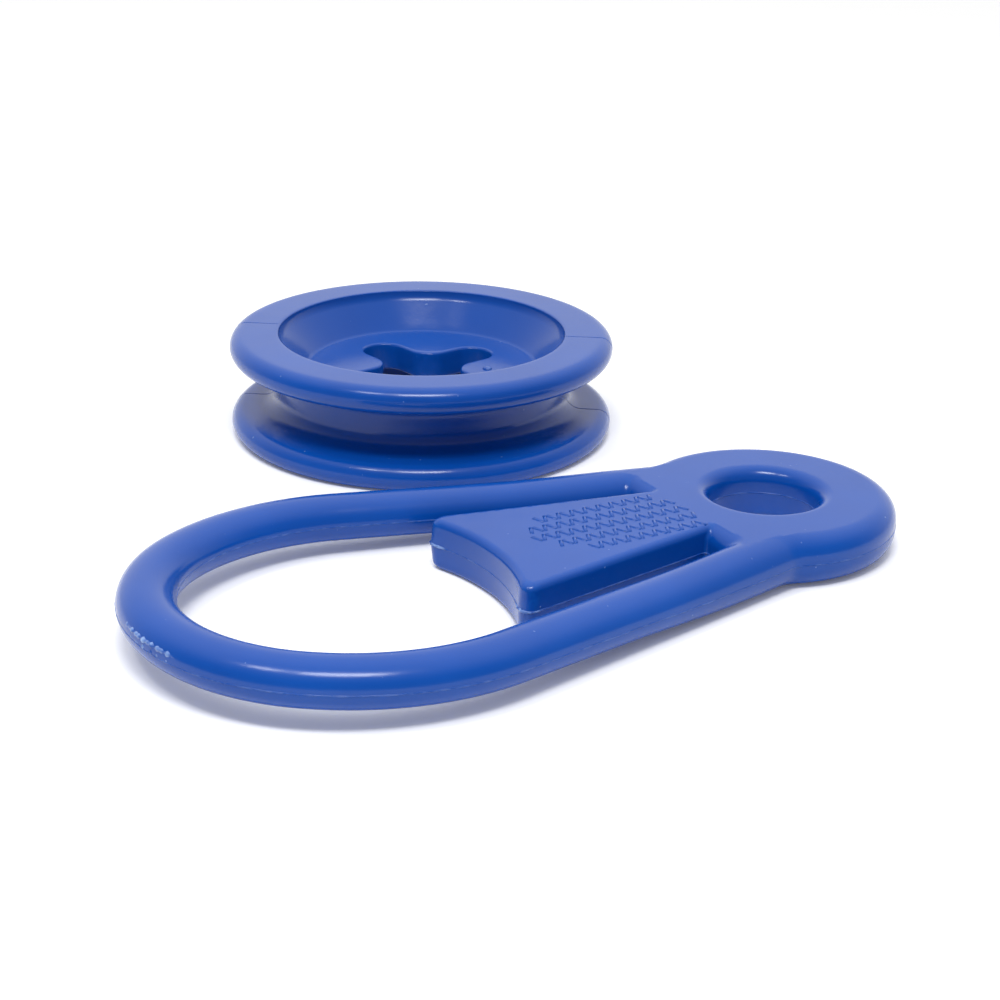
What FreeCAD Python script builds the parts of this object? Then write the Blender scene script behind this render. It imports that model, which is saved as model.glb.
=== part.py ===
import FreeCAD, Part
import math
import os
import Sketcher

# Two loose moulded pieces lying on one flat surface: a ring link and a spool.
# Millimetres, +Z up. The surface is z = 0, +X runs from the link's ring towards its eye,
# and the origin is the bottom centre of the pair's bounding box.

# Driving dimensions: name, value, meaning.
DIMENSIONS = [
    ("nose_radius", 34.65, "ring: centreline radius of its far end"),
    ("nose_centre_x", -3.42, "ring: centre of that radius"),
    ("nose_half_angle", 55.0, "ring: how far it turns to each side of the axis, degrees"),
    ("shoulder_radius", 45.9, "ring: centreline radius from there to the straight arms"),
    ("arm_taper", 12.7, "arms: angle of each straight arm to the link's axis, degrees"),
    ("arm_end_x", 88.0, "arms: where their centrelines end, inside the eye"),
    ("arm_end_height", 4.7, "arms: height of their centrelines there"),
    ("arm_rise", 1.6, "arms and ring: upward set from the eye to the far end, degrees"),
    ("rod_width", 11.3, "ring: section width in plan"),
    ("rod_height", 9.3, "ring: section height"),
    ("plate_thickness", 10.6, "link: thickness of the block, web and eye"),
    ("web_inset", 0.5, "web: its sides lie this far inside the arms' centrelines"),
    ("slot_end_x", 72.6, "web: edge that closes the two side slots"),
    ("block_horn_x", 23.8, "block: sharp corners of the hollowed end"),
    ("block_horn_half_width", 20.15, "block: half width at those corners"),
    ("block_root_x", 82.0, "block: where it ends, inside the web"),
    ("block_root_half_width", 9.3, "block: half width there"),
    ("block_hollow_radius", 43.0, "block: radius of the hollowed end"),
    ("block_corner_radius", 3.8, "block: plan rounding of the two horns"),
    ("block_edge_radius", 1.4, "block: rounding of its top and bottom edges"),
    ("eye_x", 94.0, "eye: distance of its centre from the origin"),
    ("eye_radius", 27.4, "eye: outer radius, the edge fully rounded"),
    ("eye_sweep", 250.0, "eye: angle of the rounded edge, centred on the far side from the ring"),
    ("eye_bore_radius", 11.2, "eye: radius of the straight bore"),
    ("eye_lip_radius", 2.2, "eye: rounding at each mouth of the bore"),
    ("spool_radius", 45.0, "spool: flange radius"),
    ("spool_height", 23.7, "spool: overall height"),
    ("flange_thickness", 6.0, "spool: thickness of each flange, the edge fully rounded"),
    ("groove_floor_radius", 34.0, "spool: radius at the bottom of the rope groove"),
    ("groove_corner_radius", 4.2, "spool: rounding between groove floor and flange"),
    ("recess_mouth_radius", 33.6, "spool: radius at the mouth of each recess"),
    ("recess_floor_radius", 27.0, "spool: radius at the floor of each recess"),
    ("recess_depth", 8.6, "spool: depth of each recess"),
    ("recess_mouth_rounding", 0.8, "spool: rounding of each recess mouth"),
    ("recess_floor_rounding", 1.6, "spool: rounding around each recess floor"),
    ("cross_arm_width", 9.9, "spool: width of the two crossed slots in the web"),
    ("cross_length", 39.6, "spool: end-to-end length of each crossed slot"),
    ("cross_inner_rounding", 5.5, "spool: rounding where the crossed slots meet"),
]

D = {name: value for name, value, meaning in DIMENSIONS}

# Where the pieces lie: each one's own origin, and the spool's turn about +Z in degrees.
LINK_PLACE = (-38.85, -47.76, 0.0)
SPOOL_PLACE = (23.79, 45.09, 0.0)
SPOOL_TURN = 10.1

X_AXIS, Y_AXIS = -1, -2
START, END, CENTRE = 1, 2, 3
UP = FreeCAD.Vector(0, 0, 1)


def make_sheet(doc):
    """Write the driving dimensions into a spreadsheet named dims."""
    sheet = doc.addObject("Spreadsheet::Sheet", "dims")
    for row, (name, value, meaning) in enumerate(DIMENSIONS, start=1):
        sheet.set("A%d" % row, name)
        sheet.set("B%d" % row, str(value))
        sheet.set("C%d" % row, meaning)
        sheet.setAlias("B%d" % row, name)
    doc.recompute()


# ---------------------------------------------------------------- sketches

def origin_feature(body, role):
    """The body's own origin plane or axis with this role."""
    return next(item for item in body.Origin.OriginFeatures if item.Role == role)


def new_sketch(body, name, role):
    """A sketch lying flat on one of the body's origin planes."""
    sketch = body.newObject("Sketcher::SketchObject", name)
    sketch.AttachmentSupport = [(origin_feature(body, role), "")]
    sketch.MapMode = "FlatFace"
    return sketch


def add_line(sketch, start, end):
    segment = Part.LineSegment(FreeCAD.Vector(*start, 0), FreeCAD.Vector(*end, 0))
    return sketch.addGeometry(segment, False)


def add_arc(sketch, centre, radius, first, last):
    """An arc drawn anticlockwise between two angles in degrees."""
    circle = Part.Circle(FreeCAD.Vector(*centre, 0), UP, radius)
    arc = Part.ArcOfCircle(circle, math.radians(first), math.radians(last))
    return sketch.addGeometry(arc, False)


def join(sketch, first, first_end, second, second_end):
    sketch.addConstraint(Sketcher.Constraint("Coincident", first, first_end, second, second_end))


def join_tangent(sketch, first, first_end, second, second_end):
    sketch.addConstraint(Sketcher.Constraint("Tangent", first, first_end, second, second_end))


def pin(sketch, curve, end, x, y):
    """Hold one point of a sketch curve at two expressions; "0" puts it on that axis."""
    place = sketch.getPoint(curve, end)
    for kind, expression, value, axis in (
        ("DistanceX", x, place.x, Y_AXIS),
        ("DistanceY", y, place.y, X_AXIS),
    ):
        if expression == "0":
            sketch.addConstraint(Sketcher.Constraint("PointOnObject", curve, end, axis))
        elif expression:
            index = sketch.addConstraint(Sketcher.Constraint(kind, X_AXIS, START, curve, end, value))
            sketch.setExpression("Constraints[%d]" % index, expression)


def size_radius(sketch, curve, expression):
    """Drive the radius of an arc."""
    value = sketch.Geometry[curve].Radius
    index = sketch.addConstraint(Sketcher.Constraint("Radius", curve, value))
    sketch.setExpression("Constraints[%d]" % index, expression)


def draw_polygon(sketch, corners):
    """A closed outline of straight lines, each corner pinned: (x, y, x rule, y rule)."""
    count = len(corners)
    for i in range(count):
        add_line(sketch, corners[i][:2], corners[(i + 1) % count][:2])
    for i in range(count):
        join(sketch, i, END, (i + 1) % count, START)
    for i, corner in enumerate(corners):
        pin(sketch, i, START, corner[2], corner[3])


# ---------------------------------------------------------------- features

def add_feature(doc, body, kind, name, sketch, expressions, **values):
    """A sketch-based PartDesign feature; expressions drive its sizes."""
    feature = body.newObject("PartDesign::" + kind, name)
    feature.Profile = sketch
    for prop, value in values.items():
        setattr(feature, prop, value)
    for prop, expression in expressions.items():
        feature.setExpression(prop, expression)
    doc.recompute()
    return feature


def add_fillet(doc, body, name, base, edges, radius):
    """Round some edges of the feature before this one."""
    if not edges:
        raise RuntimeError(name + " has no edges to round")
    fillet = body.newObject("PartDesign::Fillet", name)
    fillet.Base = (base, edges)
    fillet.Radius = D[radius]
    fillet.setExpression("Radius", "dims." + radius)
    doc.recompute()
    return fillet


def edges_where(feature, test):
    """Names of the feature's edges that pass a test."""
    return ["Edge%d" % i for i, edge in enumerate(feature.Shape.Edges, start=1) if test(edge)]


def is_upright(edge):
    """True for a straight edge along Z."""
    return isinstance(edge.Curve, Part.Line) and abs(edge.Curve.Direction.z) > 0.999


def is_level(edge):
    return edge.BoundBox.ZLength < 1e-4


def is_round(edge, radius):
    """True for a full or part circle of this radius about Z."""
    curve = edge.Curve
    if not isinstance(curve, Part.Circle):
        return False
    return abs(curve.Radius - radius) < 1e-3 and abs(curve.Axis.z) > 0.999


# ---------------------------------------------------------------- ring link

# Centre of the shoulder's radius, and the arm's centreline as a rule for a given x.
SHOULDER_X_RULE = (
    "(dims.nose_centre_x + (dims.shoulder_radius - dims.nose_radius)"
    " * cos(dims.nose_half_angle * 1deg))"
)
ARM_RULE = (
    "((dims.nose_radius - dims.shoulder_radius) * sin(dims.nose_half_angle * 1deg)"
    " + dims.shoulder_radius / cos(dims.arm_taper * 1deg)"
    " - ({x} - " + SHOULDER_X_RULE + ") * tan(dims.arm_taper * 1deg))"
)


def shoulder_centre():
    """Centre of the radius between the ring's far end and the far arm."""
    turn = math.radians(D["nose_half_angle"])
    step = D["shoulder_radius"] - D["nose_radius"]
    return D["nose_centre_x"] + step * math.cos(turn), -step * math.sin(turn)


def arm_y(x):
    """Distance from the link's axis to an arm's centreline, where the arm is straight."""
    taper = math.radians(D["arm_taper"])
    centre_x, centre_y = shoulder_centre()
    return centre_y + D["shoulder_radius"] / math.cos(taper) - (x - centre_x) * math.tan(taper)


def add_web(doc, body):
    """The plate between the arms, ahead of the eye."""
    sketch = new_sketch(body, "web_outline", "XY_Plane")
    corners = []
    for name in ("slot_end_x", "arm_end_x"):
        half = arm_y(D[name]) - D["web_inset"]
        rule = ARM_RULE.format(x="dims." + name) + " - dims.web_inset"
        corners.append((D[name], -half, "dims." + name, "-(" + rule + ")"))
        corners.append((D[name], half, "dims." + name, rule))
    draw_polygon(sketch, [corners[0], corners[2], corners[3], corners[1]])
    add_feature(doc, body, "Pad", "web", sketch, {"Length": "dims.plate_thickness"})


def add_block(doc, body):
    """The tapered block in the ring's throat, hollowed where it faces the ring."""
    horn_x, horn_y = D["block_horn_x"], D["block_horn_half_width"]
    root_x, root_y = D["block_root_x"], D["block_root_half_width"]
    radius = D["block_hollow_radius"]
    centre_x = horn_x - math.sqrt(radius ** 2 - horn_y ** 2)
    half_angle = math.degrees(math.asin(horn_y / radius))
    sketch = new_sketch(body, "block_outline", "XY_Plane")
    hollow = add_arc(sketch, (centre_x, 0), radius, -half_angle, half_angle)
    near = add_line(sketch, (horn_x, -horn_y), (root_x, -root_y))
    root = add_line(sketch, (root_x, -root_y), (root_x, root_y))
    far = add_line(sketch, (root_x, root_y), (horn_x, horn_y))
    join(sketch, hollow, START, near, START)
    join(sketch, near, END, root, START)
    join(sketch, root, END, far, START)
    join(sketch, far, END, hollow, END)
    size_radius(sketch, hollow, "dims.block_hollow_radius")
    pin(sketch, near, START, "dims.block_horn_x", "-dims.block_horn_half_width")
    pin(sketch, near, END, "dims.block_root_x", "-dims.block_root_half_width")
    pin(sketch, far, START, "dims.block_root_x", "dims.block_root_half_width")
    pin(sketch, far, END, "dims.block_horn_x", "dims.block_horn_half_width")
    block = add_feature(doc, body, "Pad", "block", sketch, {"Length": "dims.plate_thickness"})
    horns = edges_where(
        block, lambda edge: is_upright(edge) and edge.BoundBox.XMax < D["slot_end_x"])
    rounded = add_fillet(doc, body, "block_horns", block, horns, "block_corner_radius")
    rims = edges_where(rounded, is_level)
    add_fillet(doc, body, "block_edges", rounded, rims, "block_edge_radius")


def add_rod_half(doc, body):
    """Half of the ring: an oval section swept round the far end and along the far arm.

    Its path lies in a plane that climbs gently from the eye to the ring's far end."""
    taper, rise = D["arm_taper"], math.radians(D["arm_rise"])
    nose_x, nose, shoulder = D["nose_centre_x"], D["nose_radius"], D["shoulder_radius"]
    centre_x, centre_y = shoulder_centre()
    joint = 180 - D["nose_half_angle"]
    bend = (centre_x + shoulder * math.sin(math.radians(taper)),
            centre_y + shoulder * math.cos(math.radians(taper)))
    path = new_sketch(body, "far_arm_path", "XY_Plane")
    lift = FreeCAD.Vector(0, 0, D["arm_end_height"] + D["arm_end_x"] * math.sin(rise))
    climb = FreeCAD.Rotation(FreeCAD.Vector(0, 1, 0), D["arm_rise"])
    path.AttachmentOffset = FreeCAD.Placement(lift, climb)
    path.setExpression(
        "AttachmentOffset.Base.z",
        "dims.arm_end_height + dims.arm_end_x * sin(dims.arm_rise * 1deg)")
    path.setExpression("AttachmentOffset.Rotation.Angle", "dims.arm_rise * 1deg")
    turn = add_arc(path, (nose_x, 0), nose, joint, 180)
    sweep = add_arc(path, (centre_x, centre_y), shoulder, 90 - taper, joint)
    arm = add_line(path, bend, (D["arm_end_x"], arm_y(D["arm_end_x"])))
    join_tangent(path, turn, START, sweep, END)
    join_tangent(path, sweep, START, arm, START)
    size_radius(path, turn, "dims.nose_radius")
    size_radius(path, sweep, "dims.shoulder_radius")
    pin(path, turn, CENTRE, "dims.nose_centre_x", "0")
    pin(path, turn, END, "", "0")
    pin(path, sweep, CENTRE, SHOULDER_X_RULE, "")
    pin(path, arm, END, "dims.arm_end_x", ARM_RULE.format(x="dims.arm_end_x"))

    section = new_sketch(body, "rod_section", "XZ_Plane")
    reach = nose - nose_x
    middle = FreeCAD.Vector(-reach * math.cos(rise), lift.z + reach * math.sin(rise), 0)
    wide = middle + FreeCAD.Vector(D["rod_width"] / 2, 0, 0)
    high = middle + FreeCAD.Vector(0, D["rod_height"] / 2, 0)
    x_rule = "(dims.nose_centre_x - dims.nose_radius) * cos(dims.arm_rise * 1deg)"
    z_rule = (
        "dims.arm_end_height"
        " + (dims.arm_end_x + dims.nose_radius - dims.nose_centre_x) * sin(dims.arm_rise * 1deg)"
    )
    section.addGeometry(Part.Ellipse(wide, high, middle), False)
    section.exposeInternalGeometry(0)
    pin(section, 0, CENTRE, x_rule, z_rule)
    pin(section, 1, START, x_rule + " - dims.rod_width / 2", z_rule)
    pin(section, 2, START, "", z_rule + " - dims.rod_height / 2")

    rod = body.newObject("PartDesign::AdditivePipe", "far_arm")
    rod.Profile = section
    rod.Spine = path
    doc.recompute()
    return rod


def add_near_half(doc, body, far_half):
    """The other half of the ring, mirrored across the link's axis."""
    mirrored = body.newObject("PartDesign::Mirrored", "near_arm")
    mirrored.Originals = [far_half]
    mirrored.MirrorPlane = (origin_feature(body, "XZ_Plane"), [""])
    body.Tip = mirrored
    doc.recompute()


def add_eye(doc, body):
    """The round eye with a fully rounded edge, open where the web and the arms run into it."""
    half = D["plate_thickness"] / 2
    edge_x = D["eye_radius"] - half
    sketch = new_sketch(body, "eye_section", "XZ_Plane")
    sketch.setExpression("AttachmentOffset.Base.x", "dims.eye_x")
    low = add_line(sketch, (0, 0), (edge_x, 0))
    rim = add_arc(sketch, (edge_x, half), half, -90, 90)
    high = add_line(sketch, (edge_x, 2 * half), (0, 2 * half))
    axis = add_line(sketch, (0, 2 * half), (0, 0))
    join(sketch, low, END, rim, START)
    join(sketch, rim, END, high, START)
    join(sketch, high, END, axis, START)
    join(sketch, axis, END, low, START)
    pin(sketch, rim, CENTRE, "dims.eye_radius - dims.plate_thickness / 2", "")
    pin(sketch, low, START, "0", "0")
    pin(sketch, low, END, "dims.eye_radius - dims.plate_thickness / 2", "0")
    pin(sketch, high, START, "dims.eye_radius - dims.plate_thickness / 2", "dims.plate_thickness")
    pin(sketch, high, END, "0", "dims.plate_thickness")
    add_feature(
        doc, body, "Revolution", "eye", sketch, {"Angle": "dims.eye_sweep"},
        ReferenceAxis=(sketch, ["V_Axis"]), Midplane=True)


def cut_eye_bore(doc, body):
    """The bore through the eye, with rounded mouths."""
    bore, lip, top = D["eye_bore_radius"], D["eye_lip_radius"], D["plate_thickness"]
    mouth_rule = "dims.eye_bore_radius + dims.eye_lip_radius"
    sketch = new_sketch(body, "bore_section", "XZ_Plane")
    sketch.setExpression("AttachmentOffset.Base.x", "dims.eye_x")
    floor = add_line(sketch, (0, 0), (bore + lip, 0))
    low_lip = add_arc(sketch, (bore + lip, lip), lip, 180, 270)
    wall = add_line(sketch, (bore, lip), (bore, top - lip))
    high_lip = add_arc(sketch, (bore + lip, top - lip), lip, 90, 180)
    roof = add_line(sketch, (bore + lip, top), (0, top))
    axis = add_line(sketch, (0, top), (0, 0))
    join(sketch, floor, END, low_lip, END)
    join(sketch, low_lip, START, wall, START)
    join(sketch, wall, END, high_lip, END)
    join(sketch, high_lip, START, roof, START)
    join(sketch, roof, END, axis, START)
    join(sketch, axis, END, floor, START)
    size_radius(sketch, low_lip, "dims.eye_lip_radius")
    size_radius(sketch, high_lip, "dims.eye_lip_radius")
    pin(sketch, floor, START, "0", "0")
    pin(sketch, floor, END, mouth_rule, "0")
    pin(sketch, wall, START, "dims.eye_bore_radius", "dims.eye_lip_radius")
    pin(sketch, wall, END, "dims.eye_bore_radius", "dims.plate_thickness - dims.eye_lip_radius")
    pin(sketch, roof, START, mouth_rule, "dims.plate_thickness")
    pin(sketch, roof, END, "0", "dims.plate_thickness")
    add_feature(
        doc, body, "Groove", "eye_bore", sketch, {}, ReferenceAxis=(sketch, ["V_Axis"]), Angle=360)


def build_ring_link(doc):
    """Large ring, throat block with a slot on each side, web and eye, moulded in one."""
    body = doc.addObject("PartDesign::Body", "ring_link")
    body.Label = "ring_link"
    add_block(doc, body)
    add_web(doc, body)
    far_half = add_rod_half(doc, body)
    add_near_half(doc, body, far_half)
    add_eye(doc, body)
    cut_eye_bore(doc, body)
    body.Placement = FreeCAD.Placement(FreeCAD.Vector(*LINK_PLACE), FreeCAD.Rotation())
    return body


# ---------------------------------------------------------------- spool

def add_spool_blank(doc, body):
    """Two flanges with rounded edges and the rope groove between them."""
    half = D["flange_thickness"] / 2
    edge_x = D["spool_radius"] - half
    top = D["spool_height"]
    floor, corner = D["groove_floor_radius"], D["groove_corner_radius"]
    low_side, high_side = 2 * half, top - 2 * half
    sketch = new_sketch(body, "spool_section", "XZ_Plane")
    parts = [
        add_line(sketch, (0, 0), (edge_x, 0)),
        add_arc(sketch, (edge_x, half), half, -90, 90),
        add_line(sketch, (edge_x, low_side), (floor + corner, low_side)),
        add_arc(sketch, (floor + corner, low_side + corner), corner, 180, 270),
        add_line(sketch, (floor, low_side + corner), (floor, high_side - corner)),
        add_arc(sketch, (floor + corner, high_side - corner), corner, 90, 180),
        add_line(sketch, (floor + corner, high_side), (edge_x, high_side)),
        add_arc(sketch, (edge_x, top - half), half, -90, 90),
        add_line(sketch, (edge_x, top), (0, top)),
        add_line(sketch, (0, top), (0, 0)),
    ]
    base, low_rim, low_flange, low_corner, wall, high_corner, high_flange, high_rim, roof, axis = parts
    join(sketch, base, END, low_rim, START)
    join(sketch, low_rim, END, low_flange, START)
    join(sketch, low_flange, END, low_corner, END)
    join(sketch, low_corner, START, wall, START)
    join(sketch, wall, END, high_corner, END)
    join(sketch, high_corner, START, high_flange, START)
    join(sketch, high_flange, END, high_rim, START)
    join(sketch, high_rim, END, roof, START)
    join(sketch, roof, END, axis, START)
    join(sketch, axis, END, base, START)
    edge_rule = "dims.spool_radius - dims.flange_thickness / 2"
    corner_rule = "dims.groove_floor_radius + dims.groove_corner_radius"
    high_rule = "dims.spool_height - dims.flange_thickness"
    for rim in (low_rim, high_rim):
        pin(sketch, rim, CENTRE, edge_rule, "")
    for corner_arc in (low_corner, high_corner):
        size_radius(sketch, corner_arc, "dims.groove_corner_radius")
    pin(sketch, base, START, "0", "0")
    pin(sketch, base, END, edge_rule, "0")
    pin(sketch, low_flange, START, edge_rule, "dims.flange_thickness")
    pin(sketch, low_flange, END, corner_rule, "dims.flange_thickness")
    pin(sketch, wall, START, "dims.groove_floor_radius",
        "dims.flange_thickness + dims.groove_corner_radius")
    pin(sketch, wall, END, "dims.groove_floor_radius", high_rule + " - dims.groove_corner_radius")
    pin(sketch, high_flange, START, corner_rule, high_rule)
    pin(sketch, high_flange, END, edge_rule, high_rule)
    pin(sketch, roof, START, edge_rule, "dims.spool_height")
    pin(sketch, roof, END, "0", "dims.spool_height")
    add_feature(doc, body, "Revolution", "spool_blank", sketch, {},
                ReferenceAxis=(sketch, ["V_Axis"]), Angle=360)


def cut_recess(doc, body, name, mouth, floor, mouth_rule, floor_rule):
    """One cone-walled recess in the spool's end, between two heights."""
    wide, narrow = D["recess_mouth_radius"], D["recess_floor_radius"]
    sketch = new_sketch(body, name + "_section", "XZ_Plane")
    draw_polygon(sketch, [
        (0, mouth, "0", mouth_rule),
        (wide, mouth, "dims.recess_mouth_radius", mouth_rule),
        (narrow, floor, "dims.recess_floor_radius", floor_rule),
        (0, floor, "0", floor_rule),
    ])
    return add_feature(doc, body, "Groove", name, sketch, {},
                       ReferenceAxis=(sketch, ["V_Axis"]), Angle=360)


def cut_cross(doc, body):
    """The cross-shaped hole through the web: two rounded slots at right angles."""
    radius = D["cross_arm_width"] / 2
    reach = D["cross_length"] / 2 - radius
    reach_rule = "dims.cross_length / 2 - dims.cross_arm_width / 2"
    sketch = new_sketch(body, "cross_outline", "XY_Plane")
    right = add_arc(sketch, (reach, 0), radius, -90, 90)
    top = add_line(sketch, (reach, radius), (-reach, radius))
    left = add_arc(sketch, (-reach, 0), radius, 90, 270)
    bottom = add_line(sketch, (-reach, -radius), (reach, -radius))
    join_tangent(sketch, right, END, top, START)
    join_tangent(sketch, top, END, left, START)
    join_tangent(sketch, left, END, bottom, START)
    join_tangent(sketch, bottom, END, right, START)
    size_radius(sketch, right, "dims.cross_arm_width / 2")
    pin(sketch, right, CENTRE, reach_rule, "0")
    pin(sketch, left, CENTRE, "-(" + reach_rule + ")", "0")
    slot = add_feature(doc, body, "Pocket", "cross_slot", sketch, {},
                       Type="ThroughAll", Reversed=True)
    pattern = body.newObject("PartDesign::PolarPattern", "cross")
    pattern.Originals = [slot]
    pattern.Axis = (origin_feature(body, "Z_Axis"), [""])
    pattern.Angle = 90
    pattern.Occurrences = 2
    body.Tip = pattern
    doc.recompute()
    inner = edges_where(pattern, lambda edge: is_upright(edge) and is_inner_corner(edge))
    return add_fillet(doc, body, "cross_corners", pattern, inner, "cross_inner_rounding")


def is_inner_corner(edge):
    """True where two slot walls meet, half an arm's width from both centre lines."""
    place = edge.Vertexes[0].Point
    half = D["cross_arm_width"] / 2
    return abs(abs(place.x) - half) < 1e-3 and abs(abs(place.y) - half) < 1e-3


def build_spool(doc):
    """Flanged spool with a rope groove, a recess in each end and a cross-shaped hole."""
    body = doc.addObject("PartDesign::Body", "spool")
    body.Label = "spool"
    add_spool_blank(doc, body)
    top, depth = D["spool_height"], D["recess_depth"]
    cut_recess(doc, body, "upper_recess", top, top - depth,
               "dims.spool_height", "dims.spool_height - dims.recess_depth")
    recessed = cut_recess(doc, body, "lower_recess", 0, depth, "0", "dims.recess_depth")
    floors = edges_where(recessed, lambda edge: is_round(edge, D["recess_floor_radius"]))
    floored = add_fillet(doc, body, "recess_floors", recessed, floors, "recess_floor_rounding")
    mouths = edges_where(floored, lambda edge: is_round(edge, D["recess_mouth_radius"]))
    add_fillet(doc, body, "recess_mouths", floored, mouths, "recess_mouth_rounding")
    cut_cross(doc, body)
    turn = FreeCAD.Rotation(UP, SPOOL_TURN)
    body.Placement = FreeCAD.Placement(FreeCAD.Vector(*SPOOL_PLACE), turn)
    return body


# ---------------------------------------------------------------- checks and export

def check_document(doc):
    """Stop if any object is in error, or any feature has removed or added nothing."""
    for item in doc.Objects:
        if "Invalid" in item.State or "Error" in item.State:
            raise RuntimeError("%s is in error: %s" % (item.Name, item.State))
        if item.TypeId.startswith("PartDesign::") and hasattr(item, "Shape"):
            if item.Shape.isNull() or not item.Shape.isValid():
                raise RuntimeError(item.Name + " has no valid shape")


def check_feature_volumes(body):
    """Print how much each solid feature changed the body, and stop if one did nothing."""
    volume = 0.0
    for item in body.Group:
        if item.TypeId.startswith("PartDesign::"):
            change = item.Shape.Volume - volume
            print("%-16s %10.1f mm3" % (item.Name, change))
            if abs(change) < 1e-3:
                raise RuntimeError(item.Name + " changed nothing")
            volume = item.Shape.Volume


def main():
    doc = FreeCAD.newDocument("link_and_spool")
    make_sheet(doc)
    bodies = [build_ring_link(doc), build_spool(doc)]
    doc.recompute()
    check_document(doc)
    os.makedirs("parts", exist_ok=True)
    for body in bodies:
        check_feature_volumes(body)
        body.Shape.exportStep("parts/%s.step" % body.Label)
        box = body.Shape.BoundBox
        print(body.Label, "solids", len(body.Shape.Solids), "volume %.0f" % body.Shape.Volume)
        print("  x %.2f..%.2f  y %.2f..%.2f  z %.2f..%.2f"
              % (box.XMin, box.XMax, box.YMin, box.YMax, box.ZMin, box.ZMax))


main()
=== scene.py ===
import math

import bmesh
import bpy
import numpy as np
from mathutils import Matrix, Vector


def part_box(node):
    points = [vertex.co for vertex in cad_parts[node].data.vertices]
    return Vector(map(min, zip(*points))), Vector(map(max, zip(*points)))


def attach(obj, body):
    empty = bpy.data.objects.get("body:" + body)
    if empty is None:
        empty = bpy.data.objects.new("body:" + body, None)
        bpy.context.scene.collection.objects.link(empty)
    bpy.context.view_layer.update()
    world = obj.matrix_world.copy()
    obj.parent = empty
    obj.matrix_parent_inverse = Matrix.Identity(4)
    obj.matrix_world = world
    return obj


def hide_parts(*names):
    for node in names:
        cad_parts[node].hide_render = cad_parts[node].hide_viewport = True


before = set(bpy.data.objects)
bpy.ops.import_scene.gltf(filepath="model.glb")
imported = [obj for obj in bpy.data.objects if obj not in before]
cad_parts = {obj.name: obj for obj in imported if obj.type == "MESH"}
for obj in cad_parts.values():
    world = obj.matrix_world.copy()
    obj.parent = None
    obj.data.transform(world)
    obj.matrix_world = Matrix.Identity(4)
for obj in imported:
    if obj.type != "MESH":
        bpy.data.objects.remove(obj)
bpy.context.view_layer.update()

MM = 0.001

# ---------------------------------------------------------------- sizes, in millimetres
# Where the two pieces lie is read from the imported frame. The sizes follow the CAD's, and a few
# are slightly smaller, so that the flash and the ribs stay inside its box.

NOSE_X, NOSE_R = -3.42, 34.65  # ring's far end: centre and centreline radius
NOSE_HALF = math.radians(55)  # how far that radius turns to each side of the axis
SHOULDER_R = 45.9  # centreline radius from there to the straight arms
TAPER = math.radians(12.7)  # angle of each arm to the axis
RISE = math.tan(math.radians(1.6))  # climb of the arms and ring towards the far end
ROD_W, ROD_H = 5.49, 4.6  # half width and half height of the ring's section
ROD_POWER = 2.1  # a little squarer than an ellipse
SWELL_START, SWELL_END = 40.0, 73.0  # where the arms grow to the plate's thickness
ARM_END_X, ARM_END_Z = 88.0, 4.7  # end of the arms' centrelines, and their height there
PLATE = 5.3  # half thickness of the block, web and eye
SLOT_END_X, SLOT_END_ROUND = 71.6, 3.4  # web: edge that closes the two slots
WEB_INSET = 0.3  # web: its sides lie this far inside the arms' centrelines
HORN_X, HORN_Y = 23.8, 20.15  # block: sharp corners of the hollowed end
ROOT_X, ROOT_Y = 82.0, 9.3  # block: where it ends, inside the web
HOLLOW_R = 43.0  # block: radius of the hollowed end
HORN_ROUND = 3.9  # block: plan rounding of the two horns
BLOCK_EDGE = 1.4  # block: rounding of its top and bottom edges
MOULD_DRAFT = 0.05  # lean of the upright walls, as a slope
EYE_X, EYE_R = 94.0, 27.25  # eye: centre and outer radius
CAD_EYE_R = 27.4  # eye: outer radius in the CAD, whose box places the link
EYE_ROUND = 4.3  # eye: rounding of its edge
BORE_R, LIP_R, UNDER_LIP_R = 11.4, 2.9, 1.0  # eye: bore and the rounding of its two mouths
CEILING_START = SWELL_START + 4  # from here to the eye nothing stands above the plate
CEILING_SLOPE = 0.3  # how fast that limit lifts towards the ring
BLOCK_BLEND, EYE_BLEND, ROD_BLEND = 0.9, 1.2, 0.9  # fillets where the link's shapes meet

SPOOL_R, SPOOL_H = 44.9, 23.7  # spool: flange radius and overall height
FLANGE = 6.0  # spool: thickness of each flange
GROOVE_R, GROOVE_ROUND = 34.0, 4.2  # spool: groove floor and its rounding
MOUTH_R, FLOOR_R, RECESS = 33.6, 27.0, 8.6  # spool: recess mouth, floor and depth
MOUTH_STEP, MOUTH_ROUND, FLOOR_ROUND = 1.25, 0.3, 1.8  # spool: upright step and roundings
SLOT_HALF, SLOT_REACH, CROTCH_R = 4.95, 19.8, 5.5  # spool: cross-shaped hole
HOLE_EDGE = 0.6  # spool: rounding of the hole's edges
SPOOL_TURN = math.radians(10.1)
SEAM_ANGLES = (math.radians(-45), math.radians(135))
SEAM_HALF, SEAM_DEPTH = math.radians(0.28), 0.3  # spool: half width and depth of each seam

link_low, link_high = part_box("ring_link")
spool_low, spool_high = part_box("spool")
LINK_ORIGIN = Vector((
    link_high[0] - (EYE_X + CAD_EYE_R) * MM,
    (link_low[1] + link_high[1]) / 2,
    link_low[2] + PLATE * MM,
))
SPOOL_ORIGIN = Vector((
    (spool_low[0] + spool_high[0]) / 2,
    (spool_low[1] + spool_high[1]) / 2,
    spool_low[2],
))


# ---------------------------------------------------------------- distance helpers

def smooth_union(a, b, blend):
    """The nearer of two distances, with a fillet of about this size where they cross."""
    h = np.maximum(blend - np.abs(a - b), 0) / blend
    return np.minimum(a, b) - h * h * blend / 4


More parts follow.
